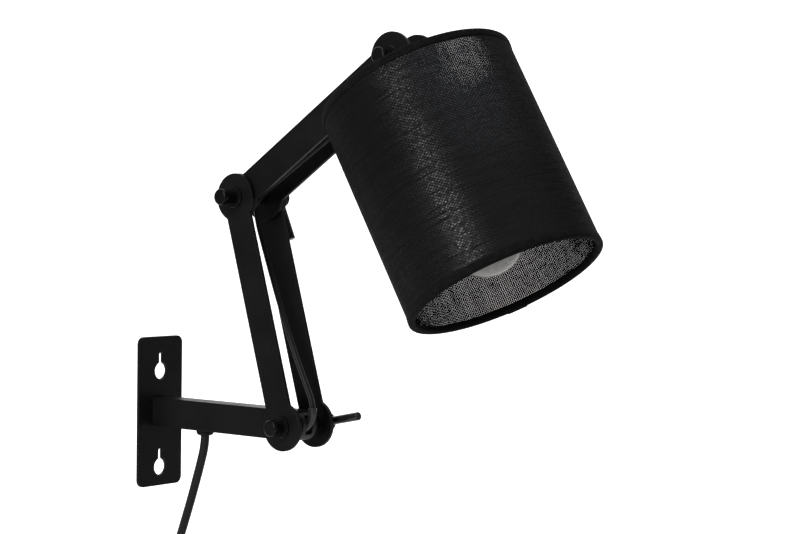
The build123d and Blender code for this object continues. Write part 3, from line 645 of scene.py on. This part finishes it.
def coil_points():
    """Control points of the coil, half turn by half turn, in towards its middle and out again."""
    points = []
    y, side = 0.0, 1
    steps = [(COIL_WALL_X, COIL_WALL_X, step) for step in range(COIL_HALF_TURNS)]
    steps.append((COIL_WALL_X, COIL_FRONT_X, COIL_HALF_TURNS))
    steps += [(COIL_FRONT_X, COIL_FRONT_X, step) for step in range(COIL_HALF_TURNS - 1, 0, -1)]
    swell = 1 / math.cos(math.pi / TURN_POINTS / 2)
    for x_from, x_to, step in steps:
        radius = COIL_RADIUS - step * COIL_PITCH / 2
        centre = y + side * radius
        out = radius * swell
        for count in range(TURN_POINTS):
            angle = math.pi * (count + 0.5) / TURN_POINTS
            x = x_from + (x_to - x_from) * (1 - math.cos(angle)) / 2
            points.append(
                Vector((x, centre - side * out * math.cos(angle), COIL_HEIGHT - side * out * math.sin(angle)))
            )
        y += 2 * radius * side
        side = -side
    return points, y


cord_points = flat(
    [
        (50.3, -14.8),
        (50.3, -22.5),
        (44.6, -40.5),
        (37.6, -61.0),
        (29.6, -82.5),
        (21.2, -104.0),
        (12.2, -124.0),
        (4.6, -141.0),
        (4.6, -153.4),
    ]
)
turns, tail_y = coil_points()
cord_points += turns
for x, drop in ((COIL_FRONT_X, 0.006), (COIL_FRONT_X, 0.0165), (PLUG_X, 0.0275), (PLUG_X, 0.0436)):
    cord_points.append(Vector((x, tail_y, COIL_HEIGHT - drop)))
cord = nurbs_curve("supply_cord", cord_points, CORD_RADIUS, cord_sheath)
relief = nurbs_curve(
    "plug_strain_relief",
    [(cord_points[-3] + cord_points[-2]) / 2, cord_points[-2], cord_points[-1]],
    RELIEF_RADIUS,
    black_plastic,
    swell=(0.76, 0.86, 1.0),
)
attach(relief, "base")
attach(cord, "base")
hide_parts("power_cord", "cord_coil")

# Link cable: inside the arm and its sleeve, then over the three pivots to the lampholder

SLEEVE_X = 157.4
SLEEVE_END = (SLEEVE_X, 13.5)
arm_cable = cable_mesh(
    "link_cable_in_arm",
    flat(
        [
            (106, 2),
            (114, 2),
            (128, -5.6),
            (146.5, -5.6),
            (150.5, -1.6),
            (SLEEVE_X, 5.28),
            (SLEEVE_X, 9.4),
            SLEEVE_END,
        ]
    ),
)
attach(arm_cable, "base")
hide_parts("link_cable_arm")
supply_end = cable_mesh(
    "supply_cord_inside",
    flat([(50.3, -14.8), (50.3, -9.0), (50.3, 2), (62, 2), (86, 2)]),
    CORD_RADIUS,
)
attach(supply_end, "base")
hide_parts("supply_cord_end")

middle_break = Vector((0.105801, 0.0, 0.135918))
middle_cable = cable_mesh(
    "link_cable_between_middle_links",
    flat(
        [
            SLEEVE_END,
            (SLEEVE_X, 17.5),
            (150.6, 30.5),
            (143.6, 44.5),
            (136.8, 58.5),
            (128.9, 76.5),
            (117.0, 106.0),
        ]
    )
    + [middle_break],
)
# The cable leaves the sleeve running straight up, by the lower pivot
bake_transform(middle_cable)
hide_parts("link_cable_middle")

upper_break = along_upper(131.1, 8.58)
upper_cable = cable_mesh(
    "link_cable_between_upper_links",
    [
        middle_break,
        Vector((0.0985, 0.0, 0.1553)),
        along_upper(7.0, 3.9),
        along_upper(22, 4.0),
        along_upper(40.5, 4.6),
        along_upper(76.5, 5.9),
        along_upper(108, 7.34),
        upper_break,
    ],
)
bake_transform(upper_cable)
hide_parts("link_cable_upper")

head_cable = cable_mesh(
    "link_cable_into_head",
    [
        upper_break,
        along_upper(150, 9.6),
        along_upper(162, 9.9),
        along_head(10.5),
        along_head(22),
        along_head(36),
        along_head(51.9),
    ],
)
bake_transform(head_cable)
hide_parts("link_cable_head")

# Shade: one stretched sheet of open linen, with a folded strip of tape over each rim.
# Its sizes, and the bulb's, are in millimetres, and drops are measured from the head pivot.

SHADE_TOP = 20.0
SHADE_END = 179.0
SHADE_STEPS = 144
CLOTH_OUTER = 69.68
CLOTH_INNER = 69.55
CLOTH_INSET = 0.9
CLOTH_ROWS = 40
outer_wall, inner_wall = [], []
for row in range(CLOTH_ROWS + 1):
    drop = SHADE_TOP + CLOTH_INSET + (SHADE_END - SHADE_TOP - 2 * CLOTH_INSET) * row / CLOTH_ROWS
    outer_wall.append((drop, CLOTH_OUTER))
    inner_wall.append((drop, CLOTH_INNER))
cloth_profile = outer_wall + inner_wall[::-1] + outer_wall[:1]
cloth_places = [drop - SHADE_TOP for drop, _ in cloth_profile]
cloth = turned("shade_cloth", cloth_profile, SHADE_STEPS, shade_linen, places=cloth_places)
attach(cloth, "head")
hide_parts("shade_fabric")

TAPE_OUTER = 70.3
TAPE_INNER = 65.3
TAPE = 0.5
FOLD_STEPS = 12
FOLD_EASE = 0.2
FOLD_FULLNESS = 0.8
# Each leg's points by their distance from the rim and how far they lean in towards the cloth
OUTER_LEG = ((6.2, 0.3), (4.4, 0.1))
INNER_LEG = ((3.6, 0.0), (5.0, 0.4))
OVERLAP_FROM, OVERLAP_TO = 322.0, 334.0
OVERLAP_STEPS = 8


def tape_profile(rim, inward, proud=0.0):
    """The folded tape's section: down the outside, over the ring, and back up inside."""
    middle = (TAPE_OUTER + TAPE_INNER) / 2
    half = (TAPE_OUTER - TAPE_INNER) / 2
    rise = half - FOLD_EASE

    def side(offset):
        reach = half + offset
        line = [(rim + inward * leg, middle + reach - lean) for leg, lean in OUTER_LEG]
        for count in range(FOLD_STEPS + 1):
            angle = math.pi * count / FOLD_STEPS
            lift = (rise + offset) * math.sin(angle) ** FOLD_FULLNESS if 0 < count < FOLD_STEPS else 0.0
            line.append((rim + inward * (rise - lift), middle + reach * math.cos(angle)))
        return line + [(rim + inward * leg, middle - reach + lean) for leg, lean in INNER_LEG]

    outer, inner = side(proud), side(proud - TAPE)
    return outer + inner[::-1] + outer[:1]


for rim_name, rim, inward in (("top", SHADE_TOP, 1), ("bottom", SHADE_END, -1)):
    binding = turned(f"shade_{rim_name}_tape", tape_profile(rim, inward), SHADE_STEPS, binding_tape)
    overlap = turned(
        f"shade_{rim_name}_tape_overlap",
        tape_profile(rim, inward, TAPE),
        OVERLAP_STEPS,
        binding_tape,
        OVERLAP_FROM,
        OVERLAP_TO,
    )
    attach(binding, "head")
    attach(overlap, "head")
    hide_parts(f"shade_{rim_name}_binding")

# Bulb globe: a smooth opal globe that runs into its neck

BULB_CENTRE = 138.0
BULB_RADIUS = 30.0
BULB_TIP = (BULB_CENTRE + BULB_RADIUS, 0.05)
BULB_STEPS = 72
GLOBE_ANGLES = (64, 70, 78, 86, 94, 102, 110, 118, 126, 134, 142, 150, 157, 164, 170, 175, 178.5)
NECK_EDGE = [(87.9, 12.6), (88.2, 14.2), (91.0, 14.5)]
NECK_STEPS = 10
NECK_WAIST = 1.6
globe_curve = []
for angle in map(math.radians, GLOBE_ANGLES):
    globe_curve.append((BULB_CENTRE - BULB_RADIUS * math.cos(angle), BULB_RADIUS * math.sin(angle)))
(drop_from, radius_from), (drop_to, radius_to) = NECK_EDGE[-1], globe_curve[0]
neck = []
for count in range(1, NECK_STEPS):
    share = count / NECK_STEPS
    straight = radius_from + (radius_to - radius_from) * share
    waist = NECK_WAIST * math.sin(math.pi * share)
    neck.append((drop_from + (drop_to - drop_from) * share, straight - waist))
globe = turned("bulb_opal_globe", NECK_EDGE + neck + globe_curve + [BULB_TIP], BULB_STEPS, opal)
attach(globe, "head")
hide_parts("bulb_globe")

# Stage: a pale floor that curves up far behind, soft light all round and two large panels

FLOOR = -0.36
FLOOR_NEAR, FLOOR_FAR = -2.6, 2.4
SWEEP_RADIUS = 1.2
SWEEP_STEPS = 12
BACK_HEIGHT = 4.0
STAGE_HALF = 5.0
STAGE_GLOW = 0.9
GLOW_GROWS = (0.3, 1.3)
away = Vector((forward.x, forward.y, 0)).normalized()
aside = Vector((-away.y, away.x, 0))
stage_white = Shader("stage_white")
stage_place = stage_white.object_place()
reach_along = stage_white.node("ShaderNodeVectorMath", operation="DOT_PRODUCT")
stage_white.put(reach_along.inputs[0], stage_place)
reach_along.inputs[1].default_value = away
stage_white.set(
    Base_Color=stage_white.ramp(stage_white.noise(stage_place, 2.0), (0.86, 0.86, 0.86), (0.88, 0.88, 0.88)),
    Roughness=0.9,
    Emission_Color=(1.0, 1.0, 1.0, 1.0),
    Emission_Strength=stage_white.spread(reach_along.outputs["Value"], 0.0, STAGE_GLOW, *GLOW_GROWS),
)
sweep_profile = [(FLOOR_NEAR, FLOOR), (FLOOR_FAR, FLOOR)]
for count in range(1, SWEEP_STEPS + 1):
    angle = math.radians(90 * count / SWEEP_STEPS)
    sweep_profile.append(
        (FLOOR_FAR + SWEEP_RADIUS * math.sin(angle), FLOOR + SWEEP_RADIUS * (1 - math.cos(angle)))
    )
sweep_profile.append((FLOOR_FAR + SWEEP_RADIUS, FLOOR + BACK_HEIGHT))
stage_points, stage_faces = [], []
for reach, height in sweep_profile:
    for width in (-STAGE_HALF, STAGE_HALF):
        stage_points.append(away * reach + aside * width + Vector((0, 0, height)))
for row in range(len(sweep_profile) - 1):
    stage_faces.append((2 * row, 2 * row + 1, 2 * row + 3, 2 * row + 2))
floor = new_mesh("floor", stage_points, stage_faces, stage_white.material)

world = bpy.data.worlds.new("studio")
world.use_nodes = True
background = world.node_tree.nodes["Background"]
background.inputs["Color"].default_value = (1.0, 1.0, 1.0, 1.0)
background.inputs["Strength"].default_value = 0.3
bpy.context.scene.world = world
bpy.context.scene.view_settings.view_transform = "Standard"


def panel(name, place, target, width, height, power):
    """A flat lamp at a place, facing its target, with its power in watts."""
    light = bpy.data.lights.new(name, "AREA")
    light.shape = "RECTANGLE"
    light.size, light.size_y = width, height
    light.energy = power
    made = linked(name, light)
    made.location = place
    made.rotation_mode = "QUATERNION"
    made.rotation_quaternion = (Vector(target) - Vector(place)).to_track_quat("-Z", "Y")


panel(
    "key_panel",
    place=(0.295, -1.852, 0.884),
    target=(0.287, -0.06, 0.175),
    width=0.62,
    height=1.4,
    power=36.0,
)
panel(
    "top_panel",
    place=(0.3, 0.2, 1.7),
    target=(0.2, 0.0, 0.1),
    width=1.4,
    height=1.4,
    power=12.0,
)
